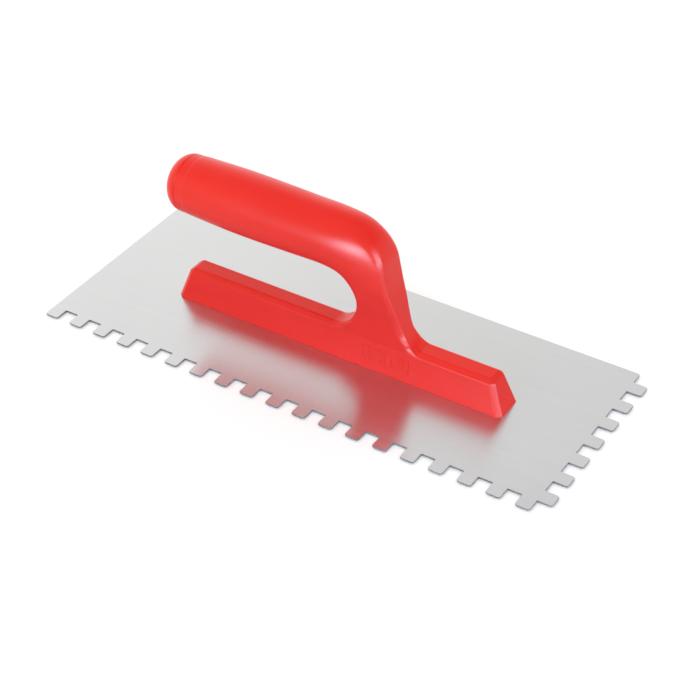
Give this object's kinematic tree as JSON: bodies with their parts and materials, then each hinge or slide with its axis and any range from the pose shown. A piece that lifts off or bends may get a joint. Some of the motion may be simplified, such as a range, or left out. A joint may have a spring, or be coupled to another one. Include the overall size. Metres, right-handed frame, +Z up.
{
  "type": "notched trowel",
  "caption": "Flat rectangular sheet with square teeth on one long and one short edge, held by a moulded bar, neck and round open-ended grip above it.",
  "frame": {"origin": "centre of the sheet's footprint, on its underside (the working face)", "axes": "+X along the sheet towards its toothed short edge, -Y towards its toothed long edge, +Z up through the handle; the grip's open end points along -X"},
  "size_m": [0.304, 0.12, 0.0875],
  "materials": {
    "blade_steel": "cold-rolled stainless sheet, satin",
    "handle_plastic": "injection-moulded, satin gloss red",
    "cap_plastic": "injection-moulded, satin gloss red",
    "strip_steel": "zinc-plated mild steel",
    "screw_steel": "stainless, plain"
  },
  "bodies": {
    "root": {"blade": "blade_steel", "handle_body": "handle_plastic", "grip_end_cap": "cap_plastic", "stiffening_strip": "strip_steel", "blade_screw_1": "screw_steel", "blade_screw_2": "screw_steel", "blade_screw_3": "screw_steel", "blade_screw_4": "screw_steel", "blade_screw_5": "screw_steel", "blade_screw_6": "screw_steel"}
  },
  "joints": []
}
